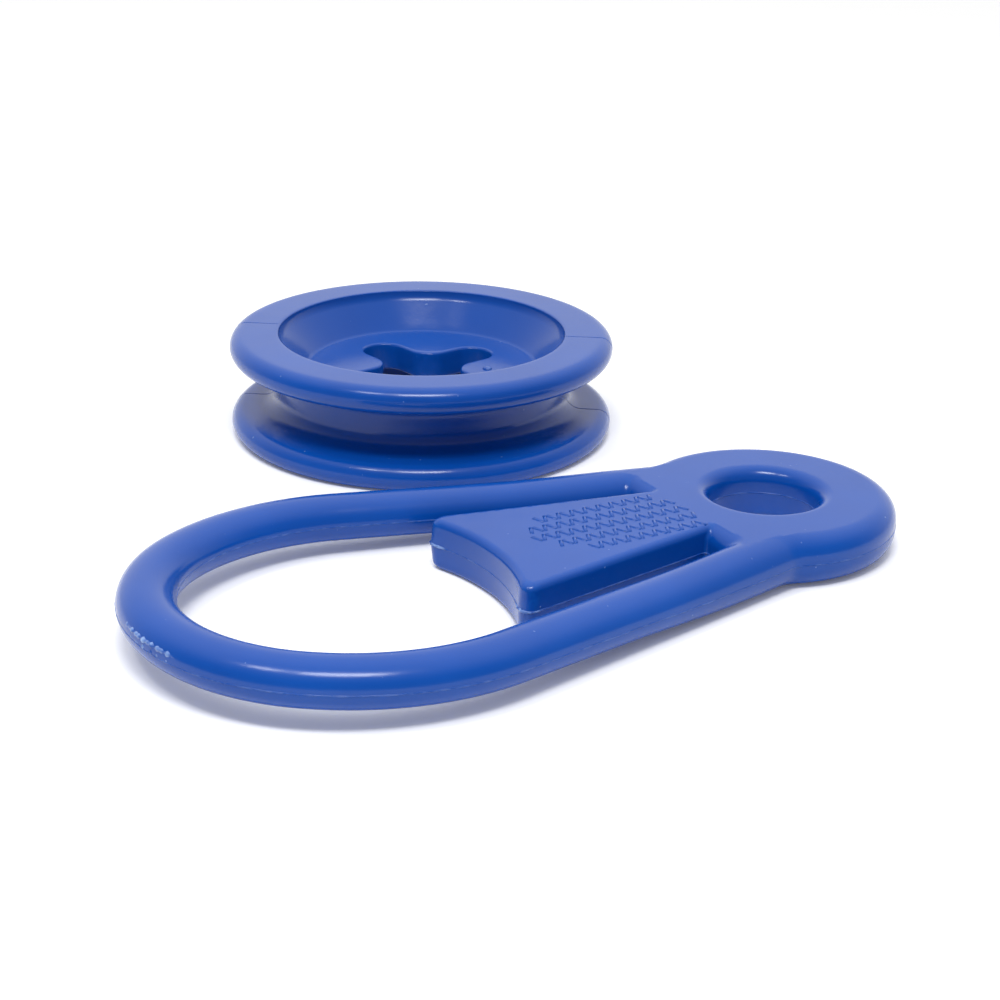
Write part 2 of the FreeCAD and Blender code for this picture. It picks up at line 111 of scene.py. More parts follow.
def round_cut(a, b, radius):
    """Intersection of two distances with a rounded convex edge."""
    outside = np.hypot(np.maximum(a + radius, 0), np.maximum(b + radius, 0)) - radius
    return outside + np.minimum(np.maximum(a + radius, b + radius), 0)


# The shoulder's centre, in plan from the link's origin.
SHOULDER_X = NOSE_X + (SHOULDER_R - NOSE_R) * math.cos(NOSE_HALF)
SHOULDER_Y = -(SHOULDER_R - NOSE_R) * math.sin(NOSE_HALF)


def ring_offset(x, y):
    """Signed distance outwards from the centreline of the ring and arms, in plan."""
    y = np.abs(y)
    nose = np.hypot(x - NOSE_X, y) - NOSE_R
    shoulder = np.hypot(x - SHOULDER_X, y - SHOULDER_Y) - SHOULDER_R
    straight = ((x - SHOULDER_X) * math.sin(TAPER) + (y - SHOULDER_Y) * math.cos(TAPER)
                - SHOULDER_R)
    in_nose = np.arctan2(y, NOSE_X - x) < NOSE_HALF
    in_shoulder = np.arctan2(x - SHOULDER_X, y - SHOULDER_Y) < TAPER
    return np.where(in_nose, nose, np.where(in_shoulder, shoulder, straight))


def swell(x):
    """How far an arm has grown into the full thickness of the eye's plate, from 0 to 1."""
    share = np.clip((x - SWELL_START) / (SWELL_END - SWELL_START), 0, 1)
    return share * share * (3 - 2 * share)


def rod_height(x):
    """Height of the ring's and arms' centreline over the plate's mid-thickness."""
    return (ARM_END_Z - PLATE + RISE * (ARM_END_X - x)) * (1 - swell(x))


def rod_distance(x, y, z):
    """Near-distance to the ring and arms: an almost elliptical section along their centreline."""
    out = ring_offset(x, y)
    half_height = ROD_H + (PLATE - ROD_H) * swell(x)
    u, v = np.abs(out) / ROD_W + 1e-6, np.abs(z - rod_height(x)) / half_height + 1e-6
    n = ROD_POWER
    q = (u ** n + v ** n) ** (1 / n)
    slope = np.hypot(u ** (n - 1) / ROD_W, v ** (n - 1) / half_height) * q ** (1 - n)
    return np.maximum((q - 1) / slope, x - ARM_END_X)


def block_plan(x, y, z):
    """Plan distance to the block's outline, a little wider at the parting plane."""
    run, rise = ROOT_X - HORN_X, HORN_Y - ROOT_Y
    length = math.hypot(run, rise)
    side = (x - HORN_X) * rise / length + (np.abs(y) - HORN_Y) * run / length
    hollow_x = HORN_X - math.sqrt(HOLLOW_R ** 2 - HORN_Y ** 2)
    hollow = HOLLOW_R - np.hypot(np.maximum(x - hollow_x, 0), y) + np.maximum(hollow_x - x, 0)
    draft = MOULD_DRAFT * np.abs(z)
    return np.maximum(round_cut(side + draft, hollow + draft, HORN_ROUND), x - ROOT_X)


def block_distance(x, y, z):
    """The tapered block with rounded edges."""
    return round_cut(block_plan(x, y, z), np.abs(z) - PLATE, BLOCK_EDGE)


def web_distance(x, y, z):
    """The plate between the arms, rounded where it closes the two slots."""
    slot_end = SLOT_END_X - x + MOULD_DRAFT * np.abs(z)
    plate = round_cut(slot_end, np.abs(z) - PLATE, SLOT_END_ROUND)
    return np.maximum(np.maximum(plate, ring_offset(x, y) + WEB_INSET), x - EYE_X)


def eye_distance(x, y, z):
    """The eye's disc with a rounded edge, cut off where the slots end."""
    spread = np.hypot(x - EYE_X, y) - (EYE_R - EYE_ROUND)
    lift = np.abs(z) - (PLATE - EYE_ROUND)
    outside = np.hypot(np.maximum(spread, 0), np.maximum(lift, 0)) - EYE_ROUND
    disc = outside + np.minimum(np.maximum(spread, lift), 0)
    return np.maximum(disc, SLOT_END_X + SLOT_END_ROUND - x)


def link_distance(x, y, z):
    """Distance to the whole link in its own frame: z = 0 at mid-thickness, +X to the eye."""
    plates = smooth_union(block_distance(x, y, z), web_distance(x, y, z), BLOCK_BLEND)
    plates = smooth_union(plates, eye_distance(x, y, z), EYE_BLEND)
    plates = np.maximum(plates, np.abs(z) - PLATE)
    body = smooth_union(rod_distance(x, y, z), plates, ROD_BLEND)
    ceiling = PLATE + CEILING_SLOPE * np.maximum(CEILING_START - x, 0)
    body = np.maximum(np.maximum(body, -z - PLATE), z - ceiling)
    lip = np.where(z > 0, LIP_R, UNDER_LIP_R)
    return round_cut(body, BORE_R - np.hypot(x - EYE_X, y), lip)


# ---------------------------------------------------------------- surface meshing

def gradient(distance, points, step=0.02):
    """Unit outward directions of a distance function."""
    out = np.empty_like(points)
    for axis in range(3):
        shift = np.zeros(3)
        shift[axis] = step
        ahead, behind = points + shift, points - shift
        out[:, axis] = distance(*ahead.T) - distance(*behind.T)
    return out / np.maximum(np.linalg.norm(out, axis=1, keepdims=True), 1e-9)


def settle(distance, points, rounds=4):
    """Move points along the gradient onto the surface."""
    for _ in range(rounds):
        points = points - gradient(distance, points) * distance(*points.T)[:, None]
    return points


def cell_points(grid, axes, step):
    """For each grid cell, how many edges the surface crosses, and the sum of the crossings."""
    cells = tuple(n - 1 for n in grid.shape)
    total, count = np.zeros(cells + (3,)), np.zeros(cells)
    base = np.stack(np.meshgrid(*[line[:-1] for line in axes], indexing="ij"), -1)
    for axis in range(3):
        first, second = [k for k in range(3) if k != axis]
        for i in (0, 1):
            for j in (0, 1):
                start = [slice(0, -1)] * 3
                start[first] = slice(i, grid.shape[first] - 1 + i)
                start[second] = slice(j, grid.shape[second] - 1 + j)
                end = list(start)
                end[axis] = slice(1, None)
                a, b = grid[tuple(start)], grid[tuple(end)]
                crosses = (a < 0) != (b < 0)
                share = np.where(crosses, a / np.where(crosses, a - b, 1), 0)
                spot = base.copy()
                spot[..., first] += i * step[first]
                spot[..., second] += j * step[second]
                spot[..., axis] += share * step[axis]
                total += spot * crosses[..., None]
                count += crosses
    return total, count


def cell_faces(inside, number):
    """One quad round each grid edge that the surface crosses, facing outwards."""
    faces = []
    for axis in range(3):
        first, second = [k for k in range(3) if k != axis]
        a = np.moveaxis(inside, (axis, first, second), (0, 1, 2))
        ids = np.moveaxis(number, (axis, first, second), (0, 1, 2))
        lower, upper = a[:-1, 1:-1, 1:-1], a[1:, 1:-1, 1:-1]
        i, j, k = np.nonzero(lower != upper)
        quad = np.stack([
            ids[i, j, k], ids[i, j + 1, k], ids[i, j + 1, k + 1], ids[i, j, k + 1]], -1)
        outward = lower[i, j, k] if axis != 1 else upper[i, j, k]
        quad[~outward] = quad[~outward][:, ::-1]
        faces.append(quad)
    return np.concatenate(faces)


def surface_net(distance, low, high, step):
    """Quad mesh of the zero surface of a distance function inside a box."""
    axes = [np.arange(a, b + s, s) for a, b, s in zip(low, high, step)]
    grid = distance(*np.meshgrid(*axes, indexing="ij"))
    total, count = cell_points(grid, axes, step)
    active = count > 0
    number = np.full(count.shape, -1)
    number[active] = np.arange(active.sum())
    points = total[active] / count[active][:, None]
    return settle(distance, points), cell_faces(grid < 0, number)


# ---------------------------------------------------------------- object helpers

def make_piece(name, points, faces, body, origin, turn=0.0, attributes=None, normals=None):
    """A smooth mesh from points in millimetres, turned, placed in the frame and riding on a body."""
    mesh = bpy.data.meshes.new(name)
    points = np.asarray(points, dtype=float) * MM
    c, s = math.cos(turn), math.sin(turn)
    rotation = np.array([[c, -s, 0], [s, c, 0], [0, 0, 1]])
    placed = points @ rotation.T + np.array(origin)
    mesh.from_pydata(placed.tolist(), [], [list(map(int, face)) for face in faces])
    mesh.validate()
    mesh.update()
    mesh.shade_smooth()
    for key, values in (attributes or {}).items():
        layer = mesh.attributes.new(key, "FLOAT", "POINT")
        layer.data.foreach_set("value", np.asarray(values, dtype=np.float32))
    if normals is not None:
        mesh.normals_split_custom_set_from_vertices((np.asarray(normals) @ rotation.T).tolist())
    piece = bpy.data.objects.new(name, mesh)
    bpy.context.scene.collection.objects.link(piece)
    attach(piece, body)
    return piece


# ---------------------------------------------------------------- the link

NET_MARGIN, NET_MARGIN_Z = 1.3, 1.15
NET_STEP = (0.62, 0.62, 0.53)
NORMAL_STEP = 0.12
WEAR_DEPTH, WEAR_RANGE = 1.6, 1.2


def make_link(material):
    """The link's moulding; "worn" is highest on sharp convex edges."""
    half_width = SHOULDER_R + SHOULDER_Y + ROD_W + NET_MARGIN
    ring_top = ARM_END_Z - PLATE + ROD_H + RISE * (ARM_END_X - NOSE_X + NOSE_R + ROD_W)
    low = (NOSE_X - NOSE_R - ROD_W - NET_MARGIN, -half_width, -PLATE - NET_MARGIN_Z)
    high = (EYE_X + EYE_R + NET_MARGIN, half_width, ring_top + NET_MARGIN_Z)
    points, faces = surface_net(link_distance, low, high, NET_STEP)
    normals = gradient(link_distance, points, NORMAL_STEP)
    under = link_distance(*(points - normals * WEAR_DEPTH).T)
    convex = np.clip((under + WEAR_DEPTH) / WEAR_RANGE, 0, 1)
    link = make_piece("ring_link_moulding", points, faces, "ring_link", LINK_ORIGIN,
                      attributes={"worn": convex}, normals=normals)
    link.data.materials.append(material)
    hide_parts("ring_link")


def outline_loops(distance, low, high, step):
    """Closed outlines where a plan distance is zero, each an array of x, y points."""
    xs, ys = np.arange(low[0], high[0], step), np.arange(low[1], high[1], step)
    level = distance(*np.meshgrid(xs, ys, indexing="ij"))
    inside = level < 0
    filled = (inside[:-1, :-1] * 1 + inside[1:, :-1] + inside[:-1, 1:] + inside[1:, 1:])
    spot, links = {}, {}
    for i, j in zip(*(cells.tolist() for cells in np.nonzero((filled > 0) & (filled < 4)))):
        found = []
        for a, b in (((i, j), (i + 1, j)), ((i + 1, j), (i + 1, j + 1)),
                     ((i, j + 1), (i + 1, j + 1)), ((i, j), (i, j + 1))):
            if inside[a] != inside[b]:
                share = level[a] / (level[a] - level[b])
                spot[a, b] = (xs[a[0]] + share * (xs[b[0]] - xs[a[0]]),
                              ys[a[1]] + share * (ys[b[1]] - ys[a[1]]))
                found.append((a, b))
        for first, second in zip(found[::2], found[1::2]):
            links.setdefault(first, []).append(second)
            links.setdefault(second, []).append(first)
    loops, left = [], set(links)
    while left:
        chain = [min(left)]
        left.discard(chain[0])
        onward = [edge for edge in links[chain[-1]] if edge in left]
        while onward:
            chain.append(onward[0])
            left.discard(onward[0])
            onward = [edge for edge in links[chain[-1]] if edge in left]
        loops.append(np.array([spot[edge] for edge in chain]))
    return loops


PARTING_REACH, PARTING_FADE = 10.0, 4.0
FLASH_STEP, OUTLINE_STEP = 0.6, 0.61
FLASH_ROOT = 0.5  # how deep the flash's section is sunk into the moulding
FLASH_CREST, CREST_RIPPLE, CREST_NICK = 0.06, 0.06, 0.45  # how far it stands out
FLASH_THICK, THICK_RIPPLE, THICK_NICK = 0.14, 0.05, 0.4  # half its thickness at the surface
NICK_INSET, NICK_SIZE = (1.6, 2.6), 3.0  # torn places inside the block's two corners


def even_steps(loop, step):
    """The same closed outline with points at even steps."""
    closed = np.vstack([loop, loop[:1]])
    run = np.concatenate([[0], np.cumsum(np.linalg.norm(np.diff(closed, axis=0), axis=1))])
    at = np.linspace(0, run[-1], max(12, round(run[-1] / step)), endpoint=False)
    return np.column_stack([np.interp(at, run, closed[:, k]) for k in (0, 1)])


def parting_height(x, y):
    """Height of the mould's parting over mid-thickness: the rod's middle, and 0 on the plates."""
    near_rod = np.clip((PARTING_REACH - np.abs(ring_offset(x, y))) / PARTING_FADE, 0, 1)
    return rod_height(x) * near_rod


def ragged(values, seed, rate):
    """A repeatable uneven value between 0 and 1 along a run of positions."""
    return 0.5 + 0.25 * (np.sin(values * rate + seed) + np.sin(values * rate * 2.7 + seed * 3.1))


def near_spot(points, spot, size):
    """A value that falls off smoothly from 1 at a spot in plan."""
    return np.exp(-((points[:, 0] - spot[0]) ** 2 + (points[:, 1] - spot[1]) ** 2) / size ** 2)


def tube_faces(count, sides, offset):
    """Quads of a closed loop of rings with this many sides."""
    k, m = np.meshgrid(np.arange(count), np.arange(sides), indexing="ij")
    ahead, turn = (k + 1) % count, (m + 1) % sides
    quads = np.stack([k * sides + m, ahead * sides + m, ahead * sides + turn, k * sides + turn], -1)
    return quads.reshape(-1, 4) + offset


def make_parting_flash(material):
    """The thin ridge that the mould's two halves leave round the link, its opening and its bore."""
    def plan(x, y):
        return link_distance(x, y, parting_height(x, y))

    half_width = SHOULDER_R + SHOULDER_Y + ROD_W + 2
    loops = outline_loops(plan, (NOSE_X - NOSE_R - ROD_W - 2, -half_width),
                          (EYE_X + EYE_R + 2, half_width), OUTLINE_STEP)
    points, faces, worn, offset = [], [], [], 0
    for loop in loops:
        flat = even_steps(loop, FLASH_STEP)
        height = parting_height(*flat.T)
        base = np.column_stack([flat, height])
        normal = gradient(link_distance, base, 0.1)
        normal[:, 2] = 0
        normal /= np.linalg.norm(normal, axis=1, keepdims=True)
        base = base - normal * link_distance(*base.T)[:, None]
        run = np.arange(len(base)) * FLASH_STEP
        torn_x, torn_y = HORN_X + NICK_INSET[0], HORN_Y - NICK_INSET[1]
        nick = sum(near_spot(base, (torn_x, side * torn_y), NICK_SIZE) for side in (-1, 1))
        crest = (FLASH_CREST + CREST_RIPPLE * ragged(run, 1.3, 0.9)
                 + nick * CREST_NICK * ragged(run, 4.0, 5.1))
        thick = (FLASH_THICK + THICK_RIPPLE * ragged(run, 2.2, 1.7)
                 + nick * THICK_NICK * ragged(run, 0.7, 4.3))
        up = np.array([0, 0, 1.0])
        section = np.stack([base + normal * crest[:, None], base + up * thick[:, None],
                            base - normal * FLASH_ROOT, base - up * thick[:, None]], 1)
        points.append(section.reshape(-1, 3))
        worn.append(np.repeat(np.clip(0.12 + nick, 0, 1), 4))
        faces += tube_faces(len(base), 4, offset).tolist()
        offset += len(base) * 4
    flash = make_piece("ring_link_parting_flash", np.concatenate(points), faces, "ring_link",
                       LINK_ORIGIN, attributes={"worn": np.concatenate(worn)})
    face_outwards(flash)
    flash.data.materials.append(material)


def face_outwards(piece):
    """Make every closed shell of a mesh face outwards."""
    shape = bmesh.new()
    shape.from_mesh(piece.data)
    bmesh.ops.recalc_face_normals(shape, faces=shape.faces)
    shape.to_mesh(piece.data)
    shape.free()


GATE_FROM, GATE_TO, GATE_LEAN = 176, 203, 20  # degrees round the far end, and above its side
GATE_SPREAD, GATE_DEPTH = 0.16, 1.2


def make_gate_scar(material):
    """The torn stub where the plastic was fed in, on the outer side of the ring's far end."""
    turns = np.radians(np.linspace(GATE_FROM, GATE_TO, 44))
    rows = np.linspace(-1, 1, 7)
    points, worn = [], []
    for number, turn in enumerate(turns):
        span = math.sin(math.pi * number / (len(turns) - 1)) ** 0.5
        tear = float(ragged(np.array([number]), 1.9, 1.9)[0])
        for row in rows:
            lean = math.radians(GATE_LEAN) + row * GATE_SPREAD * (0.4 + 0.6 * tear)
            rise = (0.2 + 0.5 * tear) * span * (1 - row * row) - 0.12
            out = (ROD_W + rise) * math.cos(lean)
            x = NOSE_X + (NOSE_R + out) * math.cos(turn)
            y = (NOSE_R + out) * math.sin(turn)
            points.append((x, y, rod_height(x) + (ROD_H + rise) * math.sin(lean)))
            worn.append(tear * span)
    index = np.arange(len(points)).reshape(len(turns), len(rows))
    under = [(x, y, z - GATE_DEPTH) for x, y, z in points]
    grid = np.stack([index[:-1, :-1], index[1:, :-1], index[1:, 1:], index[:-1, 1:]], -1)
    grid = grid.reshape(-1, 4)
    rim = np.concatenate([index[:, 0], index[-1, 1:], index[-2::-1, -1], index[0, -2:0:-1]])
    rim_low = rim + len(points)
    walls = np.stack([rim, rim_low, np.roll(rim_low, -1), np.roll(rim, -1)], -1)
    faces = grid.tolist() + (grid[:, ::-1] + len(points)).tolist() + walls.tolist()
    scar = make_piece("ring_link_gate_scar", points + under, faces, "ring_link", LINK_ORIGIN,
                      attributes={"worn": worn + worn})
    face_outwards(scar)
    scar.data.materials.append(material)


# Rows of plain slanted ribs on the block's top: each row's y, first x and last x.
RIB_ROWS = ((-8.6, 47, 72), (-4.6, 42, 74), (-0.6, 39, 74), (3.4, 40, 73), (7.4, 44, 71))
RIB_PITCH, RIB_LENGTH, RIB_WIDTH, RIB_RISE = 1.55, 2.5, 0.5, 0.22
RIB_LEAN = 24  # degrees, to one side and the other in turn
RIB_FLARE, RIB_TAPER, RIB_ROOT = 0.16, 0.08, 0.3  # wider at the foot, narrower on top, sunk in


def make_ribs(material):
    """Five rows of short slanted ribs, raised a little from the block's top."""
    points, faces = [], []
    for row, (row_y, first, last) in enumerate(RIB_ROWS):
        for number, x in enumerate(np.arange(first, last, RIB_PITCH)):
            lean = math.radians(RIB_LEAN if (row + number) % 2 else -RIB_LEAN)
            along = np.array([math.sin(lean), math.cos(lean)])
            across = np.array([along[1], -along[0]])
            start = len(points)
            for grow, z in ((RIB_FLARE, -RIB_ROOT), (RIB_FLARE, 0.0), (-RIB_TAPER, RIB_RISE)):
                for a, b in ((-1, -1), (1, -1), (1, 1), (-1, 1)):
                    spot = (np.array([x, row_y]) + across * a * (RIB_WIDTH / 2 + grow)
                            + along * b * (RIB_LENGTH / 2 + grow))
                    points.append((spot[0], spot[1], PLATE + z))
            for level in (0, 4):
                for k in range(4):
                    m = (k + 1) % 4
                    faces.append((start + level + k, start + level + m,
                                  start + level + 4 + m, start + level + 4 + k))
            faces.append((start + 8, start + 9, start + 10, start + 11))
            faces.append((start + 3, start + 2, start + 1, start))
    ribs = make_piece("throat_block_ribs", points, faces, "ring_link", LINK_ORIGIN)
    face_outwards(ribs)
    ribs.data.materials.append(material)


# ---------------------------------------------------------------- the spool

def cross_outline(angles):
    """Radius of the cross-shaped hole at each angle from one arm's axis."""
    reach = SLOT_REACH - SLOT_HALF
    fold = np.abs((angles + math.pi / 4) % (math.pi / 2) - math.pi / 4)
    tip = reach * np.cos(fold) + np.sqrt(
        np.maximum(SLOT_HALF ** 2 - (reach * np.sin(fold)) ** 2, 0))
    wall = SLOT_HALF / np.maximum(np.sin(fold), 1e-6)
    tip_end = math.atan2(SLOT_HALF, reach)
    centre = SLOT_HALF + CROTCH_R
    crotch_start = math.atan2(SLOT_HALF, centre)
    along = centre * (np.cos(fold) + np.sin(fold))
    crotch = along - np.sqrt(np.maximum(along ** 2 - 2 * centre ** 2 + CROTCH_R ** 2, 0))
    return np.where(fold < tip_end, tip, np.where(fold < crotch_start, wall, crotch))


def arc(centre, radius, first, last, count):
    """Profile points on an arc, angles in degrees."""
    angles = np.radians(np.linspace(first, last, count))
    return [(centre[0] + radius * math.cos(a), centre[1] + radius * math.sin(a)) for a in angles]


def spool_profile():
    """Upper half of the outer profile, from the recess floor over the flange to mid-height."""
    top = SPOOL_H
    floor_z = top - RECESS
    lean = math.atan2(MOUTH_R - FLOOR_R, RECESS - MOUTH_STEP)
    wall_angle = 90 - math.degrees(lean)
    # rounding between recess floor and wall
    reach = FLOOR_ROUND * math.tan(math.radians(wall_angle / 2))
    floor_arc = arc((FLOOR_R - reach, floor_z + FLOOR_ROUND), FLOOR_ROUND, -90, -90 + wall_angle, 7)
    # the mouth's short upright step and its edge
    mouth_arc = [(MOUTH_R, top - MOUTH_STEP)] + arc(
        (MOUTH_R + MOUTH_ROUND, top - MOUTH_ROUND), MOUTH_ROUND, 180, 90, 5)
    half = FLANGE / 2
    rim = arc((SPOOL_R - half, top - half), half, 90, -90, 17)
    corner = arc((GROOVE_R + GROOVE_ROUND, top - FLANGE - GROOVE_ROUND), GROOVE_ROUND, 90, 180, 11)
    return floor_arc + mouth_arc + rim + corner


def refine(profile, longest):
    """Add points so that no straight step of the profile is longer than this."""
    out = [profile[0]]
    for (r0, z0), (r1, z1) in zip(profile, profile[1:]):
        steps = max(1, math.ceil(math.hypot(r1 - r0, z1 - z0) / longest))
        out += [(r0 + (r1 - r0) * k / steps, z0 + (z1 - z0) * k / steps)
                for k in range(1, steps + 1)]
    return out


SPOOL_STEPS, PROFILE_STEP = 480, 1.6
SEAM_FAN = np.radians([-0.8, -0.45, -0.28, -0.14, 0, 0.14, 0.28, 0.45, 0.8])
SEAM_CLEAR = math.radians(0.3)


def nearest_gap(angles, others):
    """How far each angle is from the nearest of some others, round the circle."""
    apart = angles[:, None] - np.array(others)
    return np.min(np.abs((apart + math.pi) % (2 * math.pi) - math.pi), 1)


def spool_angles():
    """Even steps round the spool, with a finer fan at each seam."""
    angles = np.linspace(0, 2 * math.pi, SPOOL_STEPS, endpoint=False)
    near_seam = np.concatenate([seam + SEAM_FAN for seam in SEAM_ANGLES]) % (2 * math.pi)
    clear = nearest_gap(angles, near_seam) > SEAM_CLEAR
    return np.sort(np.concatenate([angles[clear], near_seam]))


def level_ring(plan, z):
    return np.column_stack([plan, np.full(len(plan), z)])


def outline_normals(plan):
    """Unit outward directions of a closed outline given anticlockwise."""
    ahead = np.roll(plan, -1, 0) - np.roll(plan, 1, 0)
    normal = np.stack([ahead[:, 1], -ahead[:, 0]], -1)
    return normal / np.linalg.norm(normal, axis=1, keepdims=True)


def web_rings(edge, circle, z, face):
    """Rings over the web, from the hole's rounded edge out to a circle; face is 1 up, -1 down."""
    normal = outline_normals(edge)
    made = []
    for step in np.linspace(0, math.pi / 2, 5):
        grow = HOLE_EDGE * (1 - math.cos(step))
        drop = HOLE_EDGE * (1 - math.sin(step))
        made.append(level_ring(edge + normal * grow, z - face * drop))
    lip = made[-1][:, :2]
    for share in np.linspace(0, 1, 12)[1:-1]:
        made.append(level_ring(lip * (1 - share) + circle * share, z))
    return made


def profile_rings(profile, angles):
    """Rings over the recess walls, flanges and groove, sunk a little at the two seams."""
    seam_depth = SEAM_DEPTH * np.maximum(1 - nearest_gap(angles, SEAM_ANGLES) / SEAM_HALF, 0)
    slope = np.gradient(np.array(profile), axis=0)
    outward = np.stack([-slope[:, 1], slope[:, 0]], -1)
    outward /= np.maximum(np.linalg.norm(outward, axis=1, keepdims=True), 1e-9)
    made = []
    for (r, z), (out_r, out_z) in zip(profile, outward):
        on_flange = r > MOUTH_R + 0.5
        in_groove = RECESS < z < SPOOL_H - RECESS and r > GROOVE_R - 1
        depth = seam_depth * (on_flange or in_groove)
        ring_r = r - out_r * depth
        made.append(np.column_stack([
            ring_r * np.cos(angles), ring_r * np.sin(angles), z - out_z * depth]))
    return made


def make_spool(material):
    """The spool's moulding, as rings from the hole's top edge over the outside and back."""
    upper = refine(spool_profile(), PROFILE_STEP)
    profile = refine(upper + [(r, SPOOL_H - z) for r, z in reversed(upper)], PROFILE_STEP)
    angles = spool_angles()
    round_points = np.stack([np.cos(angles), np.sin(angles)], -1)
    edge = round_points * cross_outline(angles)[:, None]
    circle = round_points * profile[0][0]
    top_z, low_z = SPOOL_H - RECESS, RECESS

    rings = web_rings(edge, circle, top_z, 1)
    rings += profile_rings(profile, angles)
    rings += web_rings(edge, circle, low_z, -1)[::-1]
    inner_top, inner_low = top_z - HOLE_EDGE, low_z + HOLE_EDGE
    for share in np.linspace(0, 1, 6)[1:-1]:
        rings.append(level_ring(edge, inner_low + (inner_top - inner_low) * share))

    faces = tube_faces(len(rings), len(angles), 0)
    spool = make_piece(
        "spool_moulding", np.concatenate(rings), faces, "spool", SPOOL_ORIGIN, SPOOL_TURN)
    spool.data.materials.append(material)
    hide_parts("spool")


PIP_TURN, PIP_REACH, PIP_SIDES = math.radians(-47), 15.6, 24
PIP_SHAPE = ((1.15, -0.3), (1.15, 0.0), (1.02, 0.28), (0.75, 0.42), (0.4, 0.48))
PIP_WEAR = 0.3


def make_pip(material):
    """The small round pip that an ejector leaves on the spool's web."""
    centre = (PIP_REACH * math.cos(PIP_TURN), PIP_REACH * math.sin(PIP_TURN))
    points = []
    for radius, z in PIP_SHAPE:
        for k in range(PIP_SIDES):
            a = 2 * math.pi * k / PIP_SIDES
            points.append((centre[0] + radius * math.cos(a), centre[1] + radius * math.sin(a),
                           SPOOL_H - RECESS + z))
    last = (len(PIP_SHAPE) - 1) * PIP_SIDES
    faces = [(row * PIP_SIDES + k, row * PIP_SIDES + (k + 1) % PIP_SIDES,
              (row + 1) * PIP_SIDES + (k + 1) % PIP_SIDES, (row + 1) * PIP_SIDES + k)
             for row in range(len(PIP_SHAPE) - 1) for k in range(PIP_SIDES)]
    faces += [tuple(range(PIP_SIDES))[::-1], tuple(range(last, len(points)))]
    pip = make_piece("spool_web_pip", points, faces, "spool", SPOOL_ORIGIN, SPOOL_TURN,
                     attributes={"worn": [PIP_WEAR] * len(points)})
    face_outwards(pip)
    pip.data.materials.append(material)


# ---------------------------------------------------------------- materials

def principled(name):
    """A node material and its surface shader."""
    material = bpy.data.materials.new(name)
    material.use_nodes = True
    return material, material.node_tree.nodes["Principled BSDF"]


def add_noise(tree, place, scale, detail, roughness=0.5):
    """Noise over the object's own coordinates."""
    noise = tree.nodes.new("ShaderNodeTexNoise")
    noise.inputs["Scale"].default_value = scale
    noise.inputs["Detail"].default_value = detail
    noise.inputs["Roughness"].default_value = roughness
    tree.links.new(place.outputs["Object"], noise.inputs["Vector"])
    return noise.outputs["Fac"]


def add_range(tree, source, low, high, to_low, to_high, interpolation="LINEAR"):
    """A value carried from one range to another, held at its ends."""
    node = tree.nodes.new("ShaderNodeMapRange")
    node.interpolation_type = interpolation
    for name, value in (("From Min", low), ("From Max", high),
                        ("To Min", to_low), ("To Max", to_high)):
        node.inputs[name].default_value = value
    tree.links.new(source, node.inputs["Value"])
    return node.outputs["Result"]


def add_mix(tree, share, first, second):
    """A colour mix; each colour is a value or another node's output."""
    node = tree.nodes.new("ShaderNodeMix")
    node.data_type = "RGBA"
    for socket, value in ((node.inputs[6], first), (node.inputs[7], second)):
        if isinstance(value, tuple):
            socket.default_value = value
        else:
            tree.links.new(value, socket)
    tree.links.new(share, node.inputs[0])
    return node.outputs[2]


def add_product(tree, first, second):
    node = tree.nodes.new("ShaderNodeMath")
    node.operation = "MULTIPLY"
    tree.links.new(first, node.inputs[0])
    tree.links.new(second, node.inputs[1])
    return node.outputs[0]


BLUE = (0.0020, 0.066, 0.36, 1)
BLUE_DEEP = (0.0017, 0.058, 0.325, 1)
BLUE_RUBBED = (0.008, 0.115, 0.46, 1)
BLUE_STRESSED = (0.30, 0.45, 0.75, 1)
# Noise scales per metre: colour clouds, rubbed patches, specks, roughness and the skin's grain.
CLOUD_SCALE, PATCH_SCALE, SPECK_SCALE, ROUGH_SCALE, SKIN_SCALE = 45.0, 420.0, 900.0, 130.0, 1100.0
ROUGH_LOW, ROUGH_HIGH = 0.16, 0.23
PLASTIC_IOR = 1.39


def make_plastic(name, worn_colour, worn_full):
    """Semi-gloss moulded plastic: uneven blue, rubbed where worn, tiny scuffs and a fine skin."""
    material, shader = principled(name)
    tree = material.node_tree
    place = tree.nodes.new("ShaderNodeTexCoord")
    cloud = add_range(tree, add_noise(tree, place, CLOUD_SCALE, 3.0), 0.3, 0.7, 0.0, 1.0)
    colour = add_mix(tree, cloud, BLUE_DEEP, BLUE)
    worn = tree.nodes.new("ShaderNodeAttribute")
    worn.attribute_name = "worn"
    patch_noise = add_noise(tree, place, PATCH_SCALE, 4.0, 0.6)
    patches = add_range(tree, patch_noise, 0.42, 0.62, 0.0, worn_full)
    share = add_product(tree, worn.outputs["Fac"], patches)
    colour = add_mix(tree, share, colour, worn_colour)
    specks = add_range(tree, add_noise(tree, place, SPECK_SCALE, 1.0), 0.80, 0.83, 0.0, 0.35)
    colour = add_mix(tree, specks, colour, BLUE_STRESSED)
    tree.links.new(colour, shader.inputs["Base Color"])
    rough_noise = add_noise(tree, place, ROUGH_SCALE, 4.0, 0.65)
    rough = add_range(tree, rough_noise, 0.3, 0.7, ROUGH_LOW, ROUGH_HIGH)
    tree.links.new(rough, shader.inputs["Roughness"])
    shader.inputs["IOR"].default_value = PLASTIC_IOR
    skin = tree.nodes.new("ShaderNodeBump")
    skin.inputs["Strength"].default_value = 0.12
    skin.inputs["Distance"].default_value = 0.0001
    tree.links.new(add_noise(tree, place, SKIN_SCALE, 4.0, 0.6), skin.inputs["Height"])
    tree.links.new(skin.outputs["Normal"], shader.inputs["Normal"])
    return material


